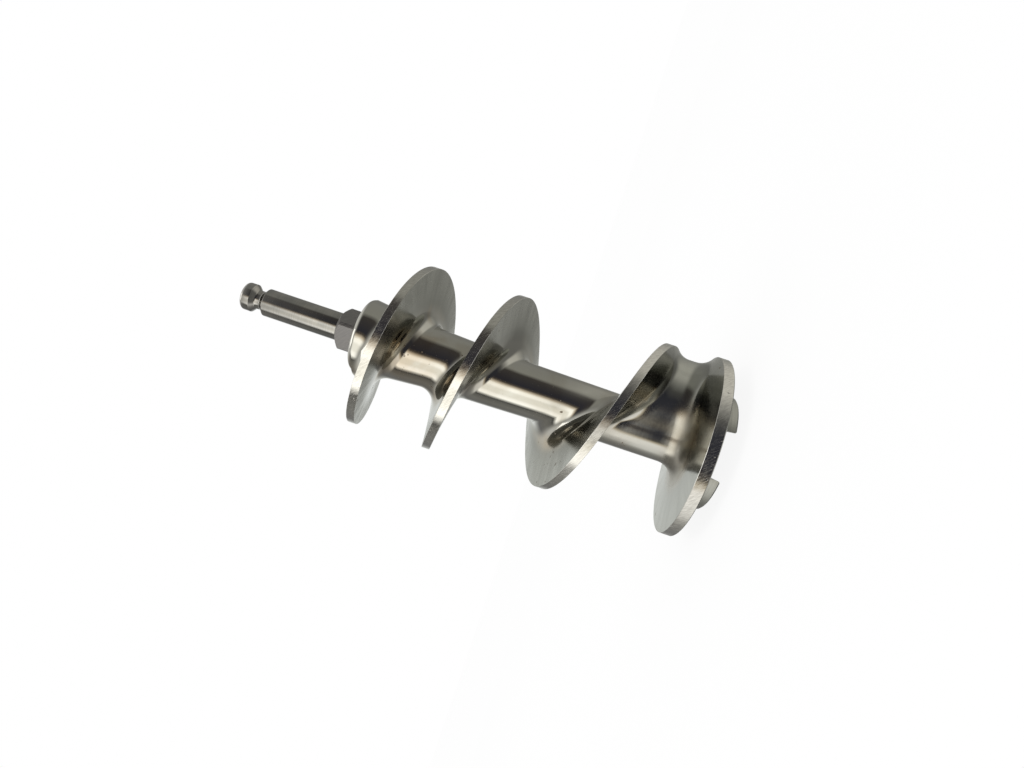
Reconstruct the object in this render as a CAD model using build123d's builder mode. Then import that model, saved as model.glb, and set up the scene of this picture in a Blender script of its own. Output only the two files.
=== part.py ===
from build123d import *
import math
import os

# Meat grinder auger, in millimetres. It stands on its drive end: the axis is Z, the drive
# lugs rest on Z = 0 and the knife pin points up.

# Drive end: a round boss with a slot across it, under a disc
boss_diameter = 62
boss_height = 10
boss_edge_chamfer = 0.8
slot_width = 25
disc_diameter = 98
disc_thickness = 6
disc_edge_chamfer = 0.4
disc_shoulder = 2

# Root and hub, one tapering body from the disc to the front face
front_height = 201.5
hub_diameter = 41
nose_length = 3
nose_edge_radius = 2.6
root_rear_diameter = 27
root_taper_length = 48

# Flight: left-handed, with a pitch that grows from the knife end to the drive end
flight_diameter = 95
flight_turns = 3
flight_start_angle = 73
rim_width = 4.4
pitch_front = 38.6
pitch_rear = 116
face_draft = 3
front_face_fillet = 10
rear_face_fillet = 8
lead_cut_width = 30
lead_cut_length = 40

# Where the channel runs out beside the disc, in turns from the front and in degrees
runout_start = 2.547
runout_length = 0.367
runout_draft = 35
runout_corner = 1.5

# The channel is cut in stretches, which meet on one side of the auger
channel_start = -1.1
channel_joints = [0.2, 1.2, 2.2]
channel_overcut = 1
channel_flare = 2.5
section_angle = 20
fillet_share = 0.95

# Knife pin, screwed into the hub
shank_diameter = 14
shank_length = 30
shank_clearance = 0.05
bore_floor_gap = 2
knife_square = 18
square_corner_diameter = 23.6
square_length = 12.7
square_chamfer_length = 2.3
square_turn = 54.3
journal_shoulder = 0.6
journal_diameter = 15.6
journal_length = 43.7
neck_diameter = 10.6
neck_length = 7.9
neck_fillet = 1.6
button_length = 5.4
button_edge_radius = 1.8
centre_hole_diameter = 3.15
centre_hole_mouth = 5
centre_hole_depth = 3.6
centre_hole_angle = 60

# Heights and radii that follow from the sizes above
disc_top = boss_height + disc_thickness
face_height = front_height - nose_length
flight_travel = front_height - disc_top
flight_radius = flight_diameter / 2
disc_radius = disc_diameter / 2
hub_radius = hub_diameter / 2
root_rear_radius = root_rear_diameter / 2
runout_radius = max(disc_radius, flight_radius) + channel_overcut
cutter_radius = runout_radius + channel_flare


def flight_height(turn):
    """Height of the flight's middle line, which travels from the front to the disc."""
    share = turn / flight_turns
    start_slope = pitch_front * flight_turns / flight_travel
    end_slope = pitch_rear * flight_turns / flight_travel
    square_term = 3 - 2 * start_slope - end_slope
    cube_term = start_slope + end_slope - 2
    travelled = start_slope * share + square_term * share**2 + cube_term * share**3
    return front_height - flight_travel * travelled


def root_radius(height):
    """Radius of the root, thick at the hub and slender towards the disc."""
    depth = max(face_height - height, 0)
    return root_rear_radius + (hub_radius - root_rear_radius) * math.exp(-depth / root_taper_length)


def radial_plane(turn):
    """Half plane through the axis, with X outwards and Y up, at the flight's angle."""
    angle = math.radians(flight_start_angle + 360 * turn)
    outwards = (math.cos(angle), math.sin(angle), 0)
    across = (math.sin(angle), -math.cos(angle), 0)
    return Plane(origin=(0, 0, 0), x_dir=outwards, z_dir=across)


def smooth_step(value):
    """Rises from 0 to 1 with level ends."""
    value = min(max(value, 0), 1)
    return value * value * (3 - 2 * value)


def channel_section(turn):
    """Corners and fillets of the channel between one turn of the flight and the next."""
    upper_wall = flight_height(turn) - rim_width / 2
    gap = flight_height(turn + 1) + rim_width / 2 - disc_top
    lower_wall = disc_top + (gap + math.hypot(gap, runout_corner)) / 2

    rise = smooth_step((turn - runout_start) / runout_length)
    draft = math.radians(face_draft + (runout_draft - face_draft) * rise)
    middle_radius = root_radius((upper_wall + lower_wall) / 2)
    floor_radius = middle_radius + (runout_radius - middle_radius) * rise
    lean = (flight_radius - floor_radius) * math.tan(draft)
    flare = (cutter_radius - flight_radius) * math.tan(draft)

    upper_floor = upper_wall - lean
    lower_floor = lower_wall + lean
    upper_radius = floor_radius + (root_radius(upper_floor) - middle_radius) * (1 - rise)
    lower_radius = floor_radius + (root_radius(lower_floor) - middle_radius) * (1 - rise)
    tangent = math.tan((math.pi / 2 - draft) / 2)
    floor_room = (upper_floor - lower_floor) / ((front_face_fillet + rear_face_fillet) * tangent)
    wall_room = (cutter_radius - floor_radius) / (math.cos(draft) * front_face_fillet * tangent)
    fit = min(1, fillet_share * floor_room, fillet_share * wall_room)
    corners = [
        (cutter_radius, upper_wall + flare),
        (upper_radius, upper_floor),
        (lower_radius, lower_floor),
        (cutter_radius, lower_wall - flare),
    ]
    return corners, [rear_face_fillet * fit, front_face_fillet * fit]


# Channel: the space that winds round the root, from beyond the front face to the disc
channel_ends = [channel_start, *channel_joints, runout_start + runout_length]
channel_stretches = []
for start, end in zip(channel_ends, channel_ends[1:]):
    sections = math.ceil((end - start) * 360 / section_angle)
    with BuildPart() as channel:
        for index in range(sections + 1):
            turn = start + (end - start) * index / sections
            corners, fillets = channel_section(turn)
            with BuildSketch(radial_plane(turn)):
                with BuildLine():
                    FilletPolyline(*corners, radius=fillets)
                    Line(corners[-1], corners[0])
                make_face()
        loft()
    channel_stretches.append(channel.part)

# Auger body: a turned blank with the channel, the drive slot and the pin's bore cut from it
bore_depth = shank_length + bore_floor_gap
bore_radius = shank_diameter / 2 + shank_clearance
lead_angle = math.radians(flight_start_angle + 360 * nose_length / pitch_front)
lead_plane = Plane(
    origin=(0, 0, face_height),
    x_dir=(math.cos(lead_angle), math.sin(lead_angle), 0),
    z_dir=(0, 0, 1),
)

with BuildPart() as auger_body:
    with BuildSketch(Plane.XZ):
        with BuildLine():
            Polyline(
                (0, 0),
                (boss_diameter / 2, 0),
                (boss_diameter / 2, boss_height),
                (disc_radius - disc_edge_chamfer, boss_height),
                (disc_radius, boss_height + disc_edge_chamfer),
                (disc_radius, disc_top + disc_shoulder),
                (flight_radius, disc_top + disc_shoulder),
                (flight_radius, face_height),
                (0, face_height),
                close=True,
            )
        make_face()
    revolve(axis=Axis.Z)
    for stretch in channel_stretches:
        add(stretch, mode=Mode.SUBTRACT)

    # The flight's thin leading end is cut back square, where it is half as thick as its rim
    with BuildSketch(lead_plane):
        with Locations((hub_radius + lead_cut_width / 2, -lead_cut_length / 2)):
            Rectangle(lead_cut_width, lead_cut_length)
    extrude(amount=-rim_width, mode=Mode.SUBTRACT)

    # Nose of the hub, in front of the flight
    with BuildSketch(Plane.XY.offset(face_height)):
        Circle(hub_radius)
    extrude(amount=nose_length)
    nose_edge = auger_body.edges().filter_by(GeomType.CIRCLE).sort_by(Axis.Z)[-1]
    fillet(nose_edge, nose_edge_radius)

    # Drive slot across the boss, which leaves two lugs
    with BuildSketch(Plane.XY):
        Rectangle(slot_width, boss_diameter)
    extrude(amount=boss_height, mode=Mode.SUBTRACT)
    chamfer(auger_body.faces().sort_by(Axis.Z)[:2].edges(), boss_edge_chamfer)

    # Tapped bore for the knife pin, at its crest diameter
    with BuildSketch(Plane.XY.offset(front_height)):
        Circle(bore_radius)
    extrude(amount=-bore_depth, mode=Mode.SUBTRACT)

# Knife pin: shank, square, journal, neck and button, turned from one bar
square_end = front_height + square_length
journal_end = square_end + journal_length
neck_end = journal_end + neck_length
pin_end = neck_end + button_length
journal_radius = journal_diameter / 2
neck_radius = neck_diameter / 2
corner_radius = square_corner_diameter / 2
neck_slope = journal_radius - neck_radius

with BuildPart() as knife_pin:
    with BuildSketch(Plane.XZ):
        with BuildLine():
            Polyline(
                (0, front_height),
                (corner_radius, front_height),
                (corner_radius, square_end - square_chamfer_length),
                (journal_radius + journal_shoulder, square_end),
                (journal_radius, square_end),
                (journal_radius, journal_end),
                (neck_radius, journal_end + neck_slope),
                (neck_radius, neck_end - neck_slope),
                (journal_radius, neck_end),
                (journal_radius, pin_end),
                (0, pin_end),
                close=True,
            )
        make_face()
    revolve(axis=Axis.Z)

    # Four flats leave a square with a narrow round land on each corner
    with BuildSketch(Plane.XY.offset(front_height)):
        Circle(square_corner_diameter)
        Rectangle(knife_square, knife_square, rotation=square_turn, mode=Mode.SUBTRACT)
    extrude(amount=square_length, mode=Mode.SUBTRACT)

    # Threaded shank inside the hub
    with BuildSketch(Plane.XY.offset(front_height - shank_length)):
        Circle(shank_diameter / 2)
    extrude(amount=shank_length)

    rings = knife_pin.edges().filter_by(GeomType.CIRCLE)
    fillet(rings.filter_by_position(Axis.Z, journal_end, neck_end, (False, False)), neck_fillet)
    pin_edge = knife_pin.edges().filter_by(GeomType.CIRCLE).sort_by(Axis.Z)[-1]
    fillet(pin_edge, button_edge_radius)

    # Lathe centre in the button's end
    with Locations((0, 0, pin_end)):
        CounterSinkHole(
            radius=centre_hole_diameter / 2,
            counter_sink_radius=centre_hole_mouth / 2,
            depth=centre_hole_depth,
            counter_sink_angle=centre_hole_angle,
        )

auger_body.part.label = "auger_body"
knife_pin.part.label = "knife_pin"

os.makedirs("parts", exist_ok=True)
export_step(auger_body.part, "parts/auger_body.step")
export_step(knife_pin.part, "parts/knife_pin.step")
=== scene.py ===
# %% [markdown]
# # A meat grinder auger in polished stainless steel
#
# The auger is a worm that pushes meat towards a knife. It was cast, turned on a lathe and
# polished. The frame comes first: it holds the two solids at their real size, the auger's
# body and its knife pin, and everything made here has to stay in their place.

# %% Load the frame
import math

import bmesh
import bpy
from mathutils import Matrix, Vector


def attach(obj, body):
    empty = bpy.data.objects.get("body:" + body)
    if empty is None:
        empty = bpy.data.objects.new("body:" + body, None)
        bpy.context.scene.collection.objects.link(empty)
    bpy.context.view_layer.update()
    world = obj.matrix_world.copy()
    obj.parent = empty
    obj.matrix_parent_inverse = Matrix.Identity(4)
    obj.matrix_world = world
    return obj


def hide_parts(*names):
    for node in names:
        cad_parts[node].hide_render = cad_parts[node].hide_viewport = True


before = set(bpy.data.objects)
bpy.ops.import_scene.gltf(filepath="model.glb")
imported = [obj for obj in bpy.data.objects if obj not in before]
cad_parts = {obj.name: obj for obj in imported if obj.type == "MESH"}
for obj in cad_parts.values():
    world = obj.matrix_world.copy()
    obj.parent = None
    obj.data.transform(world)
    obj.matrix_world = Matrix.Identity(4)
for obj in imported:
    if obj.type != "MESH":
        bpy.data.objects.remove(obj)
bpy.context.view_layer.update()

# %% [markdown]
# ## The camera
#
# The photograph was taken from close by, about level with the middle of the worm, and the
# auger lies across it with its pin up to the left. Here the auger stands on its drive end, as
# it was modelled, so the camera is rolled over instead. A short lens at 0.36 m gives the same
# strong perspective: the rims bend, and each flight shows the face that looks at the lens.

# %% Camera at the photograph's viewing angle
picture_width = 1024
focal_pixels = 664.5
sensor_width = 36
camera_distance = 0.3605
camera_height = 0.0914
nearest_seen = 0.01
picture_turn = math.radians(3.64)
picture_tilt = math.radians(0.08)
picture_roll = math.radians(18.66)

camera_data = bpy.data.cameras.new("camera")
camera_data.sensor_width = sensor_width
camera_data.lens = focal_pixels * sensor_width / picture_width
camera_data.clip_start = nearest_seen
camera = bpy.data.objects.new("camera", camera_data)
bpy.context.scene.collection.objects.link(camera)
bpy.context.scene.camera = camera

# The columns are the picture's right, its up, and the way back to the camera
lying_auger = Matrix(((0, 1, 0), (0, 0, -1), (-1, 0, 0))).to_4x4()
camera.matrix_world = (
    Matrix.Translation((0, -camera_distance, camera_height))
    @ lying_auger
    @ Matrix.Rotation(picture_turn, 4, "Y")
    @ Matrix.Rotation(picture_tilt, 4, "X")
    @ Matrix.Rotation(picture_roll, 4, "Z")
)
print("lens:", round(camera_data.lens, 2), "mm")

# %% [markdown]
# ## Sizes
#
# The solids in the frame are made of loose triangles, which is enough for collision but shows
# as facets in polished steel. Both pieces are therefore made again as smooth meshes of the
# same form. The sizes are those of the solids, in metres.

# %% Sizes of the auger
mm = 0.001
boss_radius = 31 * mm
boss_height = 10 * mm
boss_edge_chamfer = 0.8 * mm
slot_width = 25 * mm
disc_radius = 49 * mm
disc_top = 16 * mm
disc_edge_chamfer = 0.4 * mm
disc_shoulder = 2 * mm

front_height = 201.5 * mm
hub_radius = 20.5 * mm
nose_length = 3 * mm
nose_edge_radius = 2.6 * mm
root_rear_radius = 13.5 * mm
root_taper_length = 48 * mm
face_height = front_height - nose_length

flight_radius = 47.5 * mm
flight_turns = 3
flight_start = math.radians(73)
flight_travel = front_height - disc_top
rim_width = 4.4 * mm
pitch_front = 38.6 * mm
pitch_rear = 116 * mm
face_draft = math.radians(3)
front_face_fillet = 10 * mm
rear_face_fillet = 8 * mm
rim_edge_break = 0.1 * mm

# The channel runs out beside the disc, at so many turns from the front
runout_start = 2.547
runout_length = 0.367
runout_draft = math.radians(35)
runout_corner = 1.5 * mm
channel_overcut = 1 * mm
channel_flare = 2.5 * mm
runout_radius = disc_radius + channel_overcut
cutter_radius = runout_radius + channel_flare
print("auger is", round(front_height / mm, 1), "mm long without its pin")

# %% [markdown]
# ## Helpers
#
# A turned piece is an outline spun round the axis. Real turned work has small radii in its
# corners, so one helper rounds the corners of an outline first. Modifiers are applied at
# once, so that each finished piece is a plain mesh at the origin.

# %% Rounded outlines
straight_half_angle = math.radians(89.9)


def rounded_corner(before, corner, after, radius, steps):
    """Points on the arc that rounds one corner of an outline."""
    corner = Vector(corner)
    to_before = (Vector(before) - corner).normalized()
    to_after = (Vector(after) - corner).normalized()
    half_angle = to_before.angle(to_after) / 2
    if radius <= 0 or half_angle > straight_half_angle:
        return [tuple(corner)] * (steps + 1)
    centre = corner + (to_before + to_after).normalized() * radius / math.sin(half_angle)
    reach = radius / math.tan(half_angle)
    start = corner + to_before * reach - centre
    finish = corner + to_after * reach - centre
    swing = start.angle(finish)
    arc = []
    for k in range(steps + 1):
        from_start = start * math.sin(swing * (1 - k / steps))
        from_finish = finish * math.sin(swing * k / steps)
        arc.append(tuple(centre + (from_start + from_finish) / math.sin(swing)))
    return arc


def rounded_outline(points, radii, steps=6):
    """An outline whose named corners, given as {index: radius}, become arcs."""
    outline = []
    for index, point in enumerate(points):
        if index in radii:
            outline += rounded_corner(points[index - 1], point, points[index + 1], radii[index], steps)
        else:
            outline.append(point)
    return outline


test_arc = rounded_corner((0, 1), (0, 0), (1, 0), 1, 2)
print("the middle of a rounded square corner:", [round(part, 3) for part in test_arc[1]])

# %% Turning, cutting and checking
weld_distance = 0.001 * mm


def new_piece(name, mesh_builder):
    """A linked object whose mesh is taken from a finished bmesh."""
    mesh = bpy.data.meshes.new(name)
    mesh_builder.to_mesh(mesh)
    mesh_builder.free()
    piece = bpy.data.objects.new(name, mesh)
    bpy.context.scene.collection.objects.link(piece)
    return piece


def lathe(name, outline, segments):
    """A closed turned solid. The outline runs from the axis round to the axis again."""
    turned = bmesh.new()
    points = [turned.verts.new((radius, 0, height)) for radius, height in outline]
    edges = [turned.edges.new(pair) for pair in zip(points, points[1:])]
    bmesh.ops.spin(
        turned, geom=points + edges, axis=(0, 0, 1), cent=(0, 0, 0),
        angle=math.tau, steps=segments, use_merge=True,
    )
    bmesh.ops.remove_doubles(turned, verts=turned.verts, dist=weld_distance)
    bmesh.ops.recalc_face_normals(turned, faces=turned.faces)
    return new_piece(name, turned)


def combine(piece, tool, operation):
    """Cuts or joins with another solid, which is used up."""
    boolean = piece.modifiers.new("boolean", "BOOLEAN")
    boolean.operation = operation
    boolean.solver = "EXACT"
    boolean.object = tool
    depsgraph = bpy.context.evaluated_depsgraph_get()
    result = bpy.data.meshes.new_from_object(piece.evaluated_get(depsgraph))
    piece.modifiers.clear()
    piece.data = result
    bpy.data.objects.remove(tool)
    print(piece.name, operation.lower(), "leaves", len(result.polygons), "faces")


def open_edges(piece):
    """How many edges don't have exactly two faces, which is none on a closed solid."""
    check = bmesh.new()
    check.from_mesh(piece.data)
    count = sum(1 for edge in check.edges if len(edge.link_faces) != 2)
    check.free()
    return count


print("points closer than", round(weld_distance / mm, 3), "mm become one")

# %% [markdown]
# ## The channel
#
# A worm is easiest to see as a plain turned blank with a channel cut round it. The channel's
# section is a U with drafted walls and large fillets at the root. It changes all the way: the
# pitch grows towards the drive end, the root gets slimmer, and beside the disc the channel
# runs out, so that its floor climbs to the rim. `spin` makes the faces of a plain screw, and
# then each ring of vertices is moved to the section that belongs there.

# %% The laws of the flight and the root
def flight_height(turn):
    """Height of the flight's middle line, which travels from the front to the disc."""
    share = turn / flight_turns
    start_slope = pitch_front * flight_turns / flight_travel
    end_slope = pitch_rear * flight_turns / flight_travel
    square_term = 3 - 2 * start_slope - end_slope
    cube_term = start_slope + end_slope - 2
    travelled = start_slope * share + square_term * share**2 + cube_term * share**3
    return front_height - flight_travel * travelled


def root_radius(height):
    """Radius of the root, thick at the hub and slender towards the disc."""
    depth = face_height - height
    return root_rear_radius + (hub_radius - root_rear_radius) * math.exp(-depth / root_taper_length)


def smooth_step(value):
    """Rises from 0 to 1 with level ends."""
    value = min(max(value, 0), 1)
    return value * value * (3 - 2 * value)


turn_heights = [round(flight_height(turn) / mm, 1) for turn in range(flight_turns + 1)]
print("the flight passes these heights, turn by turn:", turn_heights, "mm")

# %% One wall of the channel
wall_steps = 5
least_wall = 0.2 * mm
past_rim = 0.1 * mm
full_break_room = 4 * mm


def between(start, finish, steps):
    """Evenly spaced points from start up to, but not with, finish."""
    return [tuple(Vector(start).lerp(Vector(finish), k / steps)) for k in range(steps)]


def wall_with_broken_edge(inner, outer, rim_radius, side):
    """Points up one wall, with a small chamfer at the rim. The side is 1 for the upper wall."""
    inner, outer = Vector(inner), Vector(outer)
    room = rim_radius - inner.x
    edge_break = rim_edge_break * smooth_step(room / full_break_room)
    edge_radius = max(rim_radius - edge_break, inner.x + least_wall)
    beyond_radius = max(rim_radius + past_rim, edge_radius + least_wall)

    def on_wall(radius, lift=0):
        share = (radius - inner.x) / (outer.x - inner.x)
        point = inner.lerp(outer, share)
        return (point.x, point.y + side * lift)

    edge = on_wall(edge_radius)
    beyond = on_wall(beyond_radius, edge_break + past_rim)
    top = on_wall(outer.x, edge_break + past_rim)
    return between(inner, edge, wall_steps) + [edge, beyond, top]


print("a wall is made in", wall_steps, "steps up to its broken edge")

# %% The channel's section at any turn
fillet_steps = 10
floor_steps = 6
fillet_share = 0.95


def channel_section(turn):
    """Outline of the channel between one turn of the flight and the next, from rim to rim."""
    upper_wall = flight_height(turn) - rim_width / 2
    gap = flight_height(turn + 1) + rim_width / 2 - disc_top
    lower_wall = disc_top + (gap + math.hypot(gap, runout_corner)) / 2

    rise = smooth_step((turn - runout_start) / runout_length)
    draft = face_draft + (runout_draft - face_draft) * rise
    middle_radius = root_radius((upper_wall + lower_wall) / 2)
    floor_radius = middle_radius + (runout_radius - middle_radius) * rise
    lean = (flight_radius - floor_radius) * math.tan(draft)
    flare = (cutter_radius - flight_radius) * math.tan(draft)
    upper_floor = upper_wall - lean
    lower_floor = lower_wall + lean
    upper_radius = floor_radius + (root_radius(upper_floor) - middle_radius) * (1 - rise)
    lower_radius = floor_radius + (root_radius(lower_floor) - middle_radius) * (1 - rise)

    tangent = math.tan((math.pi / 2 - draft) / 2)
    floor_room = (upper_floor - lower_floor) / ((front_face_fillet + rear_face_fillet) * tangent)
    wall_room = (cutter_radius - floor_radius) / (math.cos(draft) * front_face_fillet * tangent)
    fit = min(1, fillet_share * floor_room, fillet_share * wall_room)

    top = (cutter_radius, upper_wall + flare)
    high = (upper_radius, upper_floor)
    low = (lower_radius, lower_floor)
    bottom = (cutter_radius, lower_wall - flare)
    upper_arc = rounded_corner(top, high, low, rear_face_fillet * fit, fillet_steps)
    lower_arc = rounded_corner(high, low, bottom, front_face_fillet * fit, fillet_steps)
    lower_rim = disc_radius if lower_wall < disc_top + disc_shoulder else flight_radius
    upper_wall_points = wall_with_broken_edge(upper_arc[0], top, flight_radius, 1)
    lower_wall_points = wall_with_broken_edge(lower_arc[-1], bottom, lower_rim, -1)
    return (
        upper_wall_points[:0:-1]
        + upper_arc[:-1]
        + between(upper_arc[-1], lower_arc[0], floor_steps)
        + lower_arc
        + lower_wall_points[1:]
    )


print("a section has", len(channel_section(1)), "points")

# %% The channel as one long solid
channel_start = -1.1
channel_end = runout_start + runout_length
rings_per_turn = 120
screw_step = -1.0
rings = round((channel_end - channel_start) * rings_per_turn)
turns = [channel_start + (channel_end - channel_start) * k / rings for k in range(rings + 1)]
sections = [channel_section(turn) for turn in turns]

cutter = bmesh.new()
section_index = cutter.verts.layers.int.new("section_index")
first_section = []
for index, (radius, height) in enumerate(sections[0]):
    vertex = cutter.verts.new((radius, 0, height))
    vertex[section_index] = index
    first_section.append(vertex)
loop = [cutter.edges.new(pair) for pair in zip(first_section, first_section[1:] + first_section[:1])]
spun = bmesh.ops.spin(
    cutter, geom=first_section + loop, axis=(0, 0, 1), cent=(0, 0, 0), dvec=(0, 0, screw_step),
    angle=math.tau * (channel_end - channel_start), steps=rings,
)
last_section = [part for part in spun["geom_last"] if isinstance(part, bmesh.types.BMVert)]

# Each vertex finds its ring by how far it was screwed, and moves to that ring's section
first_heights = [point[1] for point in sections[0]]
for vertex in cutter.verts:
    ring = round((vertex.co.z - first_heights[vertex[section_index]]) / screw_step)
    angle = flight_start + math.tau * turns[ring]
    radius, height = sections[ring][vertex[section_index]]
    vertex.co = (radius * math.cos(angle), radius * math.sin(angle), height)
for end in (first_section, last_section):
    bmesh.ops.contextual_create(cutter, geom=sorted(end, key=lambda vertex: vertex[section_index]))
bmesh.ops.recalc_face_normals(cutter, faces=cutter.faces)
print("the channel has", rings, "rings and", len(cutter.faces), "faces")
channel = new_piece("channel", cutter)

# The last section folds over at its outer corner, beyond the disc, where it cuts nothing
print("open edges on the channel, all beyond the disc:", open_edges(channel))

# %% [markdown]
# ## The body
#
# The blank is turned in one go: boss, disc, the cylinder that the flight's rim lies on, and
# the nose of the hub. Then the channel, the flight's thin leading end, the drive slot and the
# pin's bore are cut with exact booleans, in the order that a machinist would follow.

# %% Turned blank with the channel cut from it
blank_segments = 360
blank_points = [
    (0, 0),
    (boss_radius - boss_edge_chamfer, 0),
    (boss_radius, boss_edge_chamfer),
    (boss_radius, boss_height),
    (disc_radius - disc_edge_chamfer, boss_height),
    (disc_radius, boss_height + disc_edge_chamfer),
    (disc_radius, disc_top + disc_shoulder),
    (flight_radius, disc_top + disc_shoulder),
    (flight_radius, face_height),
    (hub_radius, face_height),
    (hub_radius, front_height),
    (0, front_height),
]
nose_edge = len(blank_points) - 2
auger = lathe("auger", rounded_outline(blank_points, {nose_edge: nose_edge_radius}), blank_segments)
combine(auger, channel, "DIFFERENCE")
print("open edges on the auger:", open_edges(auger))

# %% Leading end of the flight
lead_clearance = 0.05 * mm
lead_width = 30 * mm
lead_length = 40 * mm
lead_angle = flight_start + math.tau * nose_length / pitch_front


def block(name, low, high, turned_by):
    """A rectangular cutter between two corners, turned about the axis."""
    cube = bmesh.new()
    bmesh.ops.create_cube(cube, size=1)
    size = Vector(high) - Vector(low)
    middle = (Vector(high) + Vector(low)) / 2
    bmesh.ops.scale(cube, vec=size, verts=cube.verts)
    bmesh.ops.translate(cube, vec=middle, verts=cube.verts)
    bmesh.ops.rotate(cube, verts=cube.verts, cent=(0, 0, 0), matrix=Matrix.Rotation(turned_by, 3, "Z"))
    return new_piece(name, cube)


lead_cut = block(
    "lead_cut",
    (hub_radius + lead_clearance, -lead_length, face_height - rim_width),
    (hub_radius + lead_width, 0, face_height + rim_width),
    lead_angle,
)
combine(auger, lead_cut, "DIFFERENCE")

# %% Drive slot across the boss
slot_profile = [
    (slot_width / 2 + 2 * boss_edge_chamfer, -boss_edge_chamfer),
    (slot_width / 2, boss_edge_chamfer),
    (slot_width / 2, boss_height),
]
slot_shape = bmesh.new()
corners = slot_profile + [(-x, z) for x, z in reversed(slot_profile)]
slot_face = slot_shape.faces.new([slot_shape.verts.new((x, -disc_radius, z)) for x, z in corners])
pulled = bmesh.ops.extrude_face_region(slot_shape, geom=[slot_face])
far_side = [part for part in pulled["geom"] if isinstance(part, bmesh.types.BMVert)]
bmesh.ops.translate(slot_shape, vec=(0, 2 * disc_radius, 0), verts=far_side)
bmesh.ops.recalc_face_normals(slot_shape, faces=slot_shape.faces)
combine(auger, new_piece("slot", slot_shape), "DIFFERENCE")

# %% Bore for the pin
shank_radius = 7 * mm
shank_length = 30 * mm
shank_clearance = 0.05 * mm
bore_floor_gap = 2 * mm
bore_radius = shank_radius + shank_clearance
bore_depth = shank_length + bore_floor_gap
bore_overcut = 1 * mm
bore_segments = 64

bore_outline = [
    (0, front_height - bore_depth),
    (bore_radius, front_height - bore_depth),
    (bore_radius, front_height + bore_overcut),
    (0, front_height + bore_overcut),
]
combine(auger, lathe("bore", bore_outline, bore_segments), "DIFFERENCE")
print("open edges on the auger:", open_edges(auger))

# %% [markdown]
# ## The knife pin
#
# The pin is turned from one bar: a shank inside the hub, a square that drives the knife, the
# journal, a neck and a rounded button with a lathe centre in its end. The square's four flats
# are cut with `bisect_plane`, which leaves a narrow turned land on each corner.

# %% Sizes of the pin
square_length = 12.7 * mm
square_chamfer_length = 2.3 * mm
square_half = 9 * mm
square_turn = math.radians(54.3)
corner_radius = 11.8 * mm
journal_shoulder = 0.6 * mm
journal_radius = 7.8 * mm
journal_length = 43.7 * mm
neck_radius = 5.3 * mm
neck_length = 7.9 * mm
neck_slope = journal_radius - neck_radius
neck_fillet = 1.6 * mm
button_length = 5.4 * mm
button_edge_radius = 1.8 * mm
shoulder_edge_break = 0.4 * mm
centre_hole_radius = 1.575 * mm
centre_hole_depth = 3.6 * mm
centre_mouth_radius = 2.5 * mm
centre_cone_half_angle = math.radians(30)
centre_cone_depth = (centre_mouth_radius - centre_hole_radius) / math.tan(centre_cone_half_angle)
inside_collar = 1 * mm
pin_segments = 128

square_end = front_height + square_length
journal_end = square_end + journal_length
neck_end = journal_end + neck_length
pin_end = neck_end + button_length
print("the pin's end stands at", round(pin_end / mm, 1), "mm")

# %% Turned pin
pin_outline = rounded_outline(
    [
        (0, front_height - shank_length),
        (shank_radius, front_height - shank_length),
        (shank_radius, front_height + inside_collar),
        (journal_radius, front_height + inside_collar),
        (journal_radius, journal_end),
        (neck_radius, journal_end + neck_slope),
        (neck_radius, neck_end - neck_slope),
        (journal_radius, neck_end),
        (journal_radius, pin_end),
        (centre_mouth_radius, pin_end),
        (centre_hole_radius, pin_end - centre_cone_depth),
        (centre_hole_radius, pin_end - centre_hole_depth),
        (0, pin_end - centre_hole_depth),
    ],
    {
        4: shoulder_edge_break,
        5: neck_fillet,
        6: neck_fillet,
        7: shoulder_edge_break,
        8: button_edge_radius,
    },
)
pin = lathe("pin", pin_outline, pin_segments)
print("the turned pin has", len(pin.data.polygons), "faces")

# %% Square for the knife
collar_outline = [
    (0, front_height),
    (corner_radius, front_height),
    (corner_radius, square_end - square_chamfer_length),
    (journal_radius + journal_shoulder, square_end),
    (0, square_end),
]
collar = lathe("collar", collar_outline, pin_segments)
flats = bmesh.new()
flats.from_mesh(collar.data)
for side in range(4):
    angle = square_turn + side * math.pi / 2
    outwards = Vector((math.cos(angle), math.sin(angle), 0))
    cut = bmesh.ops.bisect_plane(
        flats, geom=flats.verts[:] + flats.edges[:] + flats.faces[:],
        plane_co=outwards * square_half, plane_no=outwards, clear_outer=True,
    )
    rim = [part for part in cut["geom_cut"] if isinstance(part, bmesh.types.BMEdge)]
    bmesh.ops.edgeloop_fill(flats, edges=rim)
bmesh.ops.remove_doubles(flats, verts=flats.verts, dist=weld_distance)
bmesh.ops.recalc_face_normals(flats, faces=flats.faces)
flats.to_mesh(collar.data)
flats.free()
combine(pin, collar, "UNION")
print("open edges on the pin:", open_edges(pin))

# %% [markdown]
# ## Smooth shading
#
# The meshes are fine enough for smooth shading, but their real corners have to stay crisp.
# Marking edges as sharp by angle does both at once.

# %% Shade smooth, with sharp corners
sharp_from = math.radians(28)
seam_distance = 0.002 * mm
for piece in (auger, pin):
    welded = bmesh.new()
    welded.from_mesh(piece.data)
    bmesh.ops.remove_doubles(welded, verts=welded.verts, dist=seam_distance)
    bmesh.ops.dissolve_degenerate(welded, edges=welded.edges, dist=weld_distance)
    welded.to_mesh(piece.data)
    welded.free()
    piece.data.shade_smooth()
    piece.data.set_sharp_from_angle(angle=sharp_from)
    print(piece.name, "has", len(piece.data.polygons), "faces,", open_edges(piece), "open edges")

# %% [markdown]
# ## Steel
#
# The auger is one metal with several finishes: a polished root, satin flight faces, ground
# rims and a turned drive end. They lie at known distances from the axis, so one material
# finds them with masks made from Object coordinates: the radius, the height along the axis
# and the direction round it. The helpers below are small, and each adds a node or two.

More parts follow.
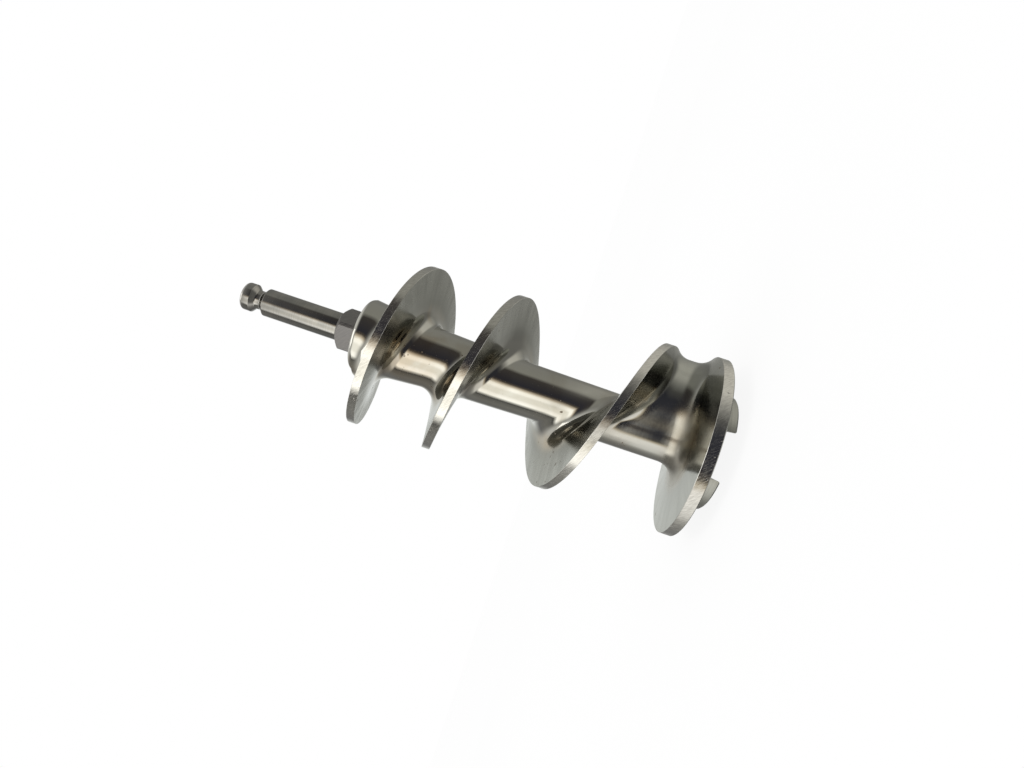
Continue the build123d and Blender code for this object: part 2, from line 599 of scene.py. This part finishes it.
# %% Helpers for numbers and colours in node trees
def set_input(tree, socket, value):
    """Links a socket, or writes a plain value."""
    if isinstance(value, bpy.types.NodeSocket):
        tree.links.new(value, socket)
    else:
        socket.default_value = value


def calculate(tree, operation, first, second=0.0):
    """One step of arithmetic between sockets or numbers."""
    node = tree.nodes.new("ShaderNodeMath")
    node.operation = operation
    set_input(tree, node.inputs[0], first)
    set_input(tree, node.inputs[1], second)
    return node.outputs[0]


def product(tree, result, *others):
    """All the values multiplied, with one node for each step."""
    for value in others:
        result = calculate(tree, "MULTIPLY", result, value)
    return result


def total(tree, result, *others):
    """All the values added, with one node for each step."""
    for value in others:
        result = calculate(tree, "ADD", result, value)
    return result


def remap(tree, value, from_low, from_high, low=0.0, high=1.0):
    """Moves smoothly from low to high while the value goes from one limit to the other."""
    node = tree.nodes.new("ShaderNodeMapRange")
    node.interpolation_type = "SMOOTHSTEP"
    set_input(tree, node.inputs["Value"], value)
    for name, limit in zip(("From Min", "From Max", "To Min", "To Max"), (from_low, from_high, low, high)):
        set_input(tree, node.inputs[name], limit)
    return node.outputs["Result"]


def blend(tree, share, first, second):
    """Mixes two numbers by a share from 0 to 1. The mix node has them as inputs 2 and 3."""
    node = tree.nodes.new("ShaderNodeMix")
    set_input(tree, node.inputs[0], share)
    set_input(tree, node.inputs[2], first)
    set_input(tree, node.inputs[3], second)
    return node.outputs[0]


def blend_colors(tree, share, first, second):
    """Mixes two colours by a share from 0 to 1. The mix node has them as inputs 6 and 7."""
    node = tree.nodes.new("ShaderNodeMix")
    node.data_type = "RGBA"
    set_input(tree, node.inputs[0], share)
    set_input(tree, node.inputs[6], first if isinstance(first, bpy.types.NodeSocket) else (*first, 1))
    set_input(tree, node.inputs[7], second if isinstance(second, bpy.types.NodeSocket) else (*second, 1))
    return node.outputs[2]


print("helpers: set_input, calculate, product, total, remap, blend and blend_colors")

# %% Helpers for patterns and for where a point lies
usual_limits = (0.3, 0.7)
narrow_limits = (0.35, 0.65)


def clouds(tree, vector, scale, detail=3.0, distortion=0.0):
    """Soft noise from 0 to 1, mostly between the usual limits. The scale is in spots per metre."""
    node = tree.nodes.new("ShaderNodeTexNoise")
    set_input(tree, node.inputs["Vector"], vector)
    node.inputs["Scale"].default_value = scale
    node.inputs["Detail"].default_value = detail
    node.inputs["Distortion"].default_value = distortion
    return node.outputs[0]


def vector_of(tree, x, y, z):
    """A vector from three sockets or numbers."""
    node = tree.nodes.new("ShaderNodeCombineXYZ")
    for socket, value in zip(node.inputs, (x, y, z)):
        set_input(tree, socket, value)
    return node.outputs[0]


def turned_coordinates(tree):
    """Object coordinates, the radius from the axis, the height and the direction round the axis."""
    place = tree.nodes.new("ShaderNodeTexCoord").outputs["Object"]
    split = tree.nodes.new("ShaderNodeSeparateXYZ")
    tree.links.new(place, split.inputs[0])
    x, y, height = split.outputs
    radius = calculate(tree, "SQRT", total(tree, product(tree, x, x), product(tree, y, y)))
    direction = calculate(tree, "ARCTAN2", x, product(tree, y, -1.0))
    return place, radius, height, direction


def slanting_marks(tree, radius, height, direction, across, along):
    """Short marks at 45 degrees to the axis. The last two values are marks per metre."""
    arc = product(tree, direction, radius)
    rising = calculate(tree, "ADD", arc, height)
    falling = calculate(tree, "SUBTRACT", arc, height)
    scaled = vector_of(tree, product(tree, rising, across), product(tree, falling, along), 0.0)
    return clouds(tree, scaled, 1.0, detail=2.0)


print("patterns show between", usual_limits, "or", narrow_limits)

# %% Helpers for a metal
def new_metal(name):
    """A material with its node tree and its shader, set to metal."""
    material = bpy.data.materials.new(name)
    material.use_nodes = True
    shader = material.node_tree.nodes["Principled BSDF"]
    shader.inputs["Metallic"].default_value = 1
    return material, material.node_tree, shader


def finish_metal(tree, shader, color, roughness, relief):
    """Links the colour, the roughness and a relief whose height is in metres."""
    tree.links.new(color, shader.inputs["Base Color"])
    tree.links.new(roughness, shader.inputs["Roughness"])
    bump = tree.nodes.new("ShaderNodeBump")
    bump.inputs["Distance"].default_value = 1
    tree.links.new(relief, bump.inputs["Height"])
    tree.links.new(bump.outputs["Normal"], shader.inputs["Normal"])
    print("this steel has", len(tree.nodes), "nodes")


print("helpers: new_metal and finish_metal")

# %% [markdown]
# ### The body's steel
#
# Polishing leaves a surface that is slightly wavy, most of all in the fillets, with faint marks
# that run round the root. The flights are rougher and a little darker, because the belt reaches
# them less well. Their rims are ground with short slanting marks, and the wear runs a quarter
# of a millimetre over the edges. The polish is smoky in places, with a few brown specks. Warm
# tints in the fillets are partly heat tint, where the polishing wheel ran hot, and partly a
# painted golden glint. Beside the disc the channel's last stretch is darker and browner, and
# duller because it is finished by hand.

# %% Patterns of the body's finishes
# Spots per metre of each cloud
wave_scale = 55
smoke_scale = 38
grain_scale = 900
uneven_scale = 150
speck_scale = 420

# Marks per metre, but the fan's rays are per radian
round_mark_scale = 900.0
fan_rays = 9.0
fan_length = 30.0
rim_mark_scales = (1500, 220)


def body_patterns(tree, place, radius, height, direction):
    """Noise for each kind of mark that the finishing left, by name."""
    round_vector = vector_of(
        tree, product(tree, height, round_mark_scale), product(tree, radius, round_mark_scale), direction
    )
    fan_vector = vector_of(
        tree,
        product(tree, direction, fan_rays),
        product(tree, radius, fan_length),
        product(tree, height, fan_length),
    )
    return {
        "wave": clouds(tree, place, wave_scale, detail=2.0),
        "smoke": clouds(tree, place, smoke_scale, detail=4.0, distortion=0.6),
        "grain": clouds(tree, place, grain_scale, detail=2.0),
        "uneven": clouds(tree, place, uneven_scale, detail=1.0),
        "specks": clouds(tree, place, speck_scale, detail=1.0),
        "round": clouds(tree, round_vector, 1.0),
        "fan": clouds(tree, fan_vector, 1.0, detail=2.0, distortion=0.3),
        "rim": slanting_marks(tree, radius, height, direction, *rim_mark_scales),
    }


print("a fan has about", round(math.tau * fan_rays), "rays")

# %% Where the body's finishes lie
# Each finish fades in from the first radius, height or distance to the second
flight_face = (22 * mm, 30 * mm)
fillet_inside = (15 * mm, 21 * mm)
fillet_outside = (31 * mm, 23 * mm)
rim_wear = (-0.25 * mm, -0.1 * mm)
shoulder_step = 0.1 * mm
drive_end = (boss_height + 0.3 * mm, boss_height + 0.1 * mm)
hub_stain_bottom = (150 * mm, 164 * mm)
hub_stain_top = (192 * mm, 182 * mm)
hub_stain_reach = (27 * mm, 22 * mm)
runout_top = (34 * mm, 22 * mm)
runout_reach = (32 * mm, 22 * mm)
speck_limits = (0.70, 0.76)
speck_smoke_limits = (0.50, 0.62)
pit_place = (-12.8 * mm, -47.3 * mm, 11.6 * mm)
pit_radius = 0.55 * mm
pit_floor_radius = 0.6 * pit_radius


def pit_mask(tree, place):
    """1 in the small pit on the disc's edge, and 0 elsewhere."""
    distance = tree.nodes.new("ShaderNodeVectorMath")
    distance.operation = "DISTANCE"
    tree.links.new(place, distance.inputs[0])
    distance.inputs[1].default_value = pit_place
    return remap(tree, distance.outputs["Value"], pit_radius, pit_floor_radius)


def body_masks(tree, place, radius, height, patterns):
    """The share of each finish at a point, from 0 to 1, by name."""
    shoulder_top = disc_top + disc_shoulder
    rim_radius = remap(tree, height, shoulder_top + shoulder_step, shoulder_top, flight_radius, disc_radius)
    past_rim_radius = calculate(tree, "SUBTRACT", radius, rim_radius)
    speck = remap(tree, patterns["specks"], *speck_limits)
    near_hub = product(tree, remap(tree, height, *hub_stain_bottom), remap(tree, height, *hub_stain_top))
    return {
        "face": remap(tree, radius, *flight_face),
        "fillet": product(tree, remap(tree, radius, *fillet_inside), remap(tree, radius, *fillet_outside)),
        "rim": remap(tree, past_rim_radius, *rim_wear),
        "drive_end": remap(tree, height, *drive_end),
        "hub": product(tree, near_hub, remap(tree, radius, *hub_stain_reach)),
        "runout": product(
            tree, remap(tree, height, *runout_top), remap(tree, radius, *runout_reach)
        ),
        "speck": product(tree, speck, remap(tree, patterns["smoke"], *speck_smoke_limits)),
        "pit": pit_mask(tree, place),
    }


print("the satin face begins", round(flight_face[0] / mm), "mm from the axis")

# %% Colour of the body's steel
root_color = (0.45, 0.44, 0.40)
smoky_color = (0.36, 0.335, 0.285)
smoke_limits = (0.42, 0.66)
most_smoke = 0.6
face_color = (0.37, 0.37, 0.335)
# Painted shade: the flight faces are painted darker towards the root, fading out across the outer face's
# radii
inner_face_shade_color = (0.30, 0.30, 0.27)
outer_face = (28 * mm, 44 * mm)
rim_color = (0.47, 0.455, 0.42)
edge_color = (0.60, 0.585, 0.54)
speck_color = (0.16, 0.11, 0.07)
speck_share = 0.7
drive_end_share = 0.6
# Painted shade: the inside of the small pit is painted near-black
pit_shade_color = (0.02, 0.02, 0.02)

# Shades over the steel: the finish where each lies, the pattern that breaks it up, the limits
# of that pattern, the shade's least and most share, and its colour
body_shades = [
    ("face", "fan", usual_limits, (0.0, 0.26), (0.24, 0.24, 0.215)),
    ("hub", "smoke", narrow_limits, (0.0, 0.6), (0.36, 0.31, 0.25)),
    # Darker and browner in the channel's last stretch beside the disc
    ("runout", "smoke", (0.3, 0.6), (0.4, 0.9), (0.27, 0.24, 0.19)),
    # The fillets' warm tint is partly heat tint and partly a painted golden glint
    ("fillet", "smoke", (0.45, 0.70), (0.0, 0.5), (0.52, 0.43, 0.30)),
]


def body_color(tree, radius, masks, patterns):
    """Colour from the bright root over stains, painted shade and painted glints to the ground rims."""
    smoke = remap(tree, patterns["smoke"], *smoke_limits, 0.0, most_smoke)
    root = blend_colors(tree, smoke, root_color, smoky_color)
    # Painted shade on the flight faces near the root
    face = blend_colors(tree, remap(tree, radius, *outer_face), inner_face_shade_color, face_color)
    color = blend_colors(tree, masks["face"], root, face)
    for finish, pattern, limits, shares, shade in body_shades:
        share = product(tree, masks[finish], remap(tree, patterns[pattern], *limits, *shares))
        color = blend_colors(tree, share, color, shade)
    color = blend_colors(tree, product(tree, masks["speck"], speck_share), color, speck_color)
    ground_rim = blend_colors(tree, remap(tree, patterns["rim"], *narrow_limits), rim_color, edge_color)
    color = blend_colors(tree, masks["rim"], color, ground_rim)
    color = blend_colors(tree, product(tree, masks["drive_end"], drive_end_share), color, face_color)
    # The pit's painted shade
    return blend_colors(tree, masks["pit"], color, pit_shade_color)


print("the body has", len(body_shades), "shades over its steel")

# %% Roughness and relief of the body's steel
# Roughness where a finish's pattern is lowest and where it is highest
polish_roughness = (0.05, 0.10)
satin_roughness = (0.24, 0.33)
rim_roughness = (0.10, 0.24)
drive_end_roughness = (0.26, 0.40)
round_mark_roughness = (-0.01, 0.02)
speck_roughness = 0.6

# Polish fades into satin along the radius. In the wide last turn, the polish is duller and
# the satin finer.
polish_to_satin = (24 * mm, 42 * mm)
last_turn = (85 * mm, 55 * mm)
last_turn_added = 0.05
last_turn_satin_share = 0.6
runout_added = 0.2

wave_height = 0.045 * mm
uneven_height = 0.03 * mm
round_mark_height = 0.0012 * mm
grain_height = 0.0006 * mm
rim_mark_height = 0.006 * mm
pit_depth = 0.2 * mm


def body_roughness(tree, radius, height, masks, patterns):
    """Roughness from the polished root over the satin faces to the drive end."""
    polished = remap(tree, patterns["smoke"], *usual_limits, *polish_roughness)
    polished = total(tree, polished, remap(tree, height, *last_turn, 0.0, last_turn_added))
    satin = remap(tree, patterns["fan"], *usual_limits, *satin_roughness)
    satin = product(tree, satin, remap(tree, height, *last_turn, 1.0, last_turn_satin_share))
    rough = blend(tree, remap(tree, radius, *polish_to_satin), polished, satin)
    rough = total(
        tree, rough, product(tree, masks["runout"], runout_added),
        remap(tree, patterns["round"], *usual_limits, *round_mark_roughness),
    )
    ground_rim = remap(tree, patterns["rim"], *usual_limits, *rim_roughness)
    turned_end = remap(tree, patterns["round"], *usual_limits, *drive_end_roughness)
    rough = blend(tree, masks["rim"], rough, ground_rim)
    rough = blend(tree, masks["drive_end"], rough, turned_end)
    return blend(tree, masks["speck"], rough, speck_roughness)


def body_relief(tree, masks, patterns):
    """Height of the surface over the mesh, in metres."""
    return total(
        tree,
        product(tree, patterns["wave"], wave_height),
        product(tree, patterns["uneven"], uneven_height, masks["fillet"]),
        product(tree, patterns["round"], round_mark_height),
        product(tree, patterns["grain"], grain_height),
        product(tree, patterns["rim"], rim_mark_height, masks["rim"]),
        product(tree, masks["pit"], -pit_depth),
    )


def body_steel():
    """The body's material, from its patterns to its relief."""
    material, tree, shader = new_metal("body_steel")
    place, radius, height, direction = turned_coordinates(tree)
    patterns = body_patterns(tree, place, radius, height, direction)
    masks = body_masks(tree, place, radius, height, patterns)
    color = body_color(tree, radius, masks, patterns)
    roughness = body_roughness(tree, radius, height, masks, patterns)
    finish_metal(tree, shader, color, roughness, body_relief(tree, masks, patterns))
    return material


print("the waves of the polish are", round(wave_height / mm, 3), "mm high")

# %% [markdown]
# ### The pin's steel
#
# The pin is turned from a harder and darker bar. Fine rings from the lathe run round its
# journal and button. The square was milled, so its flats are dull with slanting marks.

# %% Steel of the pin
journal_color = (0.28, 0.277, 0.264)
journal_bright = (0.38, 0.365, 0.335)
groove_color = (0.19, 0.187, 0.178)
most_groove = 0.3
flat_color = (0.20, 0.192, 0.19)
flat_bright = (0.26, 0.25, 0.242)
turned_roughness = (0.08, 0.16)
milled_roughness = (0.36, 0.52)

square_inside = (journal_radius + 0.2 * mm, journal_radius + 0.4 * mm)
square_top = (square_end, square_end - 0.2 * mm)
lathe_ring_scale = 1600.0
pin_cloud_scale = 90
pin_grain_scale = 1500
milled_mark_scales = (1500, 120)
lathe_ring_height = 0.006 * mm
pin_grain_height = 0.003 * mm
pin_cloud_height = 0.02 * mm


def pin_steel():
    """The pin's material: turned all over, and milled on the square."""
    material, tree, shader = new_metal("pin_steel")
    place, radius, height, direction = turned_coordinates(tree)
    on_square = product(tree, remap(tree, radius, *square_inside), remap(tree, height, *square_top))
    ring_vector = vector_of(tree, 0.0, 0.0, product(tree, height, lathe_ring_scale))
    rings = clouds(tree, ring_vector, 1.0, detail=2.0)
    cloud = clouds(tree, place, pin_cloud_scale, detail=4.0)
    grain = clouds(tree, place, pin_grain_scale, detail=2.0)
    milled = slanting_marks(tree, radius, height, direction, *milled_mark_scales)

    color = blend_colors(tree, remap(tree, cloud, *narrow_limits), journal_color, journal_bright)
    grooves = remap(tree, rings, *narrow_limits, 0.0, most_groove)
    color = blend_colors(tree, grooves, color, groove_color)
    flats = blend_colors(tree, remap(tree, milled, *usual_limits), flat_color, flat_bright)
    color = blend_colors(tree, on_square, color, flats)

    turned = remap(tree, rings, *usual_limits, *turned_roughness)
    roughness = blend(tree, on_square, turned, remap(tree, milled, *usual_limits, *milled_roughness))
    relief = total(
        tree,
        product(tree, rings, lathe_ring_height),
        product(tree, grain, pin_grain_height),
        product(tree, cloud, pin_cloud_height),
    )
    finish_metal(tree, shader, color, roughness, relief)
    return material


print("the pin's lathe rings are about", round(1 / lathe_ring_scale / mm, 1), "mm apart")

# %% Both pieces get their steel and take the place of the solids
for piece, steel, node in ((auger, body_steel(), "auger_body"), (pin, pin_steel(), "knife_pin")):
    piece.data.materials.clear()
    piece.data.materials.append(steel)
    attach(piece, "root")
    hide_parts(node)
    print(piece.name, "is made of", steel.name)

# %% [markdown]
# ## Floor and background
#
# The world is pure white, and the floor is nearly so where the camera sees it: mostly plain
# white, mixed with a pale surface that keeps the auger's shadow. The steel doesn't mirror the
# floor, because the auger in the photograph hangs free.

# %% White floor
floor_half_width = 30
floor_color = (0.9, 0.9, 0.9)
floor_roughness = 0.8
floor_whiteness = 0.9


def seen_directly(tree):
    """1 where the camera, a mirror or glass looks at a surface, and 0 for scattered light."""
    path = tree.nodes.new("ShaderNodeLightPath")
    seen = path.outputs["Is Camera Ray"]
    for name in ("Is Glossy Ray", "Is Transmission Ray"):
        add = tree.nodes.new("ShaderNodeMath")
        add.use_clamp = True
        tree.links.new(seen, add.inputs[0])
        tree.links.new(path.outputs[name], add.inputs[1])
        seen = add.outputs[0]
    return seen


def floor_finish():
    """A pale surface, mixed with plain white where it is seen directly."""
    material = bpy.data.materials.new("floor")
    material.use_nodes = True
    tree = material.node_tree
    pale = tree.nodes["Principled BSDF"]
    pale.inputs["Base Color"].default_value = (*floor_color, 1)
    pale.inputs["Roughness"].default_value = floor_roughness
    white = tree.nodes.new("ShaderNodeEmission")
    mix = tree.nodes.new("ShaderNodeMixShader")
    tree.links.new(product(tree, seen_directly(tree), floor_whiteness), mix.inputs["Fac"])
    tree.links.new(pale.outputs["BSDF"], mix.inputs[1])
    tree.links.new(white.outputs["Emission"], mix.inputs[2])
    tree.links.new(mix.outputs["Shader"], tree.nodes["Material Output"].inputs["Surface"])
    return material


floor_shape = bmesh.new()
bmesh.ops.create_grid(floor_shape, x_segments=1, y_segments=1, size=floor_half_width)
floor = new_piece("floor", floor_shape)
floor.data.materials.append(floor_finish())
floor.visible_glossy = False
print("the floor is", round(floor.dimensions.x), "m wide")

# %% White world
world = bpy.data.worlds.new("studio")
bpy.context.scene.world = world
world.use_nodes = True
background = world.node_tree.nodes["Background"]
background.inputs["Color"].default_value = (1, 1, 1, 1)
background.inputs["Strength"].default_value = 1
bpy.context.scene.view_settings.view_transform = "Standard"
print("view transform:", bpy.context.scene.view_settings.view_transform)

# %% [markdown]
# ## Light
#
# An overhead lamp lights the floor, so that the auger's shadow on it stays, and the white
# world fills in evenly from all sides. Metal scatters no light, so what these two do to the
# steel is only what it mirrors of them.

# %% Overhead lamp
lamp_size = 0.9
lamp_height = 1.5
lamp_left = 0.3
lamp_front = 0.4
lamp_radiance = 1.6
lamp_data = bpy.data.lights.new("overhead", "AREA")
lamp_data.size = lamp_size
lamp_data.energy = lamp_radiance * math.pi * lamp_size**2
lamp = bpy.data.objects.new("overhead", lamp_data)
bpy.context.scene.collection.objects.link(lamp)
lamp.location = (-lamp_left, -lamp_front, lamp_height)
lamp.rotation_euler = (math.atan2(lamp_front, lamp_height), -math.atan2(lamp_left, lamp_height), 0)
print("overhead lamp:", round(lamp_data.energy, 2), "W")

# %% [markdown]
# ## What the steel mirrors
#
# Polished steel looks like what stands round it. In the photograph the root mirrors a bright
# window below the camera, a dark room above it and grey all round. A tall round curtain stands
# for them, and only mirrors see it. Its tone changes with the direction round the auger: 0 is
# towards the camera, and a quarter turn is upwards in the picture. It changes with the height
# too. The faces of the flights look up and down along the auger, so they mirror a lower and
# an upper ring of tones, then a wall over the window, a pale ceiling and a dark ground.

# %% Tones of the curtain
# Tones at directions round the auger, in degrees from the camera's side, times the brightest
curtain_brightest = 2.35
tones_above = [
    (-180, (0.39, 0.40, 0.39)),
    (-166, (0.34, 0.35, 0.34)),
    (-140, (0.10, 0.10, 0.10)),
    (-110, (0.13, 0.13, 0.125)),
    (-90, (0.10, 0.10, 0.095)),
    (-82, (0.05, 0.05, 0.05)),
    (-74, (0.45, 0.45, 0.43)),
    (-68, (0.98, 0.98, 0.95)),
    (-58, (0.92, 0.91, 0.88)),
    (-50, (0.76, 0.75, 0.70)),
    (-32, (0.76, 0.75, 0.70)),
    (-24, (0.94, 0.93, 0.89)),
    (-16, (0.92, 0.90, 0.84)),
    (-8, (0.46, 0.40, 0.32)),
    (0, (0.06, 0.05, 0.04)),
    (8, (0.02, 0.02, 0.026)),
    (52, (0.035, 0.032, 0.03)),
    (66, (0.17, 0.17, 0.155)),
    (115, (0.16, 0.16, 0.15)),
    (150, (0.11, 0.11, 0.105)),
    (166, (0.22, 0.22, 0.21)),
    (180, (0.39, 0.40, 0.39)),
]
tones_below = [
    (-180, (0.21, 0.21, 0.20)),
    (-140, (0.10, 0.10, 0.10)),
    (-112, (0.16, 0.16, 0.155)),
    (-100, (0.26, 0.26, 0.25)),
    (-88, (0.48, 0.48, 0.47)),
    (-50, (0.60, 0.595, 0.58)),
    (-42, (0.36, 0.32, 0.25)),
    (-34, (0.05, 0.045, 0.04)),
    (-20, (0.02, 0.021, 0.027)),
    (20, (0.022, 0.023, 0.029)),
    (38, (0.06, 0.06, 0.058)),
    (54, (0.18, 0.18, 0.17)),
    (76, (0.36, 0.355, 0.33)),
    (115, (0.32, 0.315, 0.29)),
    (150, (0.14, 0.14, 0.13)),
    (180, (0.20, 0.20, 0.19)),
]
wall_tone = (0.14, 0.14, 0.135)
ceiling_tone = (0.40, 0.40, 0.39)
ground_tone = (0.10, 0.10, 0.095)
print("the curtain has", len(tones_above), "tones above and", len(tones_below), "below")

# %% The curtain's material
# Heights in metres from which each change begins and at which it is complete
tones_change = (-0.2, 0.1)
window_top = (0.5, 1.6)
ceiling_begins = (0.9, 2.1)
ground_begins = (-0.8, -1.5)

# Angles from the camera's side, within which the window and the wall over it stand
camera_side = (math.radians(120), math.radians(90))


def tone_ramp(tree, share, tones):
    """A colour from a list of (degrees, colour), for a direction given as a share of a turn."""
    ramp = tree.nodes.new("ShaderNodeValToRGB")
    stops = ramp.color_ramp.elements
    for degrees, tone in tones[1:-1]:
        stops.new((degrees + 180) / 360).color = (*tone, 1)
    stops[0].color = (*tones[0][1], 1)
    stops[-1].color = (*tones[-1][1], 1)
    tree.links.new(share, ramp.inputs["Fac"])
    return ramp.outputs["Color"]


def curtain_glow():
    """Glowing tones that depend on the direction and the height."""
    material = bpy.data.materials.new("curtain")
    material.use_nodes = True
    material.cycles.emission_sampling = "NONE"
    tree = material.node_tree
    tree.nodes.remove(tree.nodes["Principled BSDF"])
    _, _, height, direction = turned_coordinates(tree)
    share = calculate(tree, "DIVIDE", total(tree, direction, math.pi), math.tau)
    below = tone_ramp(tree, share, tones_below)
    above = tone_ramp(tree, share, tones_above)
    tone = blend_colors(tree, remap(tree, height, *tones_change), below, above)
    towards_camera = remap(tree, calculate(tree, "ABSOLUTE", direction), *camera_side)
    over_window = product(tree, towards_camera, remap(tree, height, *window_top))
    tone = blend_colors(tree, over_window, tone, wall_tone)
    tone = blend_colors(tree, remap(tree, height, *ceiling_begins), tone, ceiling_tone)
    tone = blend_colors(tree, remap(tree, height, *ground_begins), tone, ground_tone)
    glow = tree.nodes.new("ShaderNodeEmission")
    glow.inputs["Strength"].default_value = curtain_brightest
    tree.links.new(tone, glow.inputs["Color"])
    tree.links.new(glow.outputs["Emission"], tree.nodes["Material Output"].inputs["Surface"])
    print("the curtain has", len(tree.nodes), "nodes")
    return material


# %% Curtain
curtain_radius = 1.4
curtain_low = -3.5
curtain_high = 4.5
curtain_segments = 96
curtain_middle = (0, 0, (curtain_high + curtain_low) / 2)

curtain_shape = bmesh.new()
bmesh.ops.create_cone(
    curtain_shape, segments=curtain_segments, radius1=curtain_radius, radius2=curtain_radius,
    depth=curtain_high - curtain_low,
)
bmesh.ops.translate(curtain_shape, verts=curtain_shape.verts, vec=curtain_middle)
curtain = new_piece("curtain", curtain_shape)
curtain.data.materials.append(curtain_glow())
curtain.visible_camera = False
curtain.visible_diffuse = False
curtain.visible_shadow = False
curtain.visible_transmission = False
print("the curtain is", round(curtain.dimensions.z, 1), "m high")
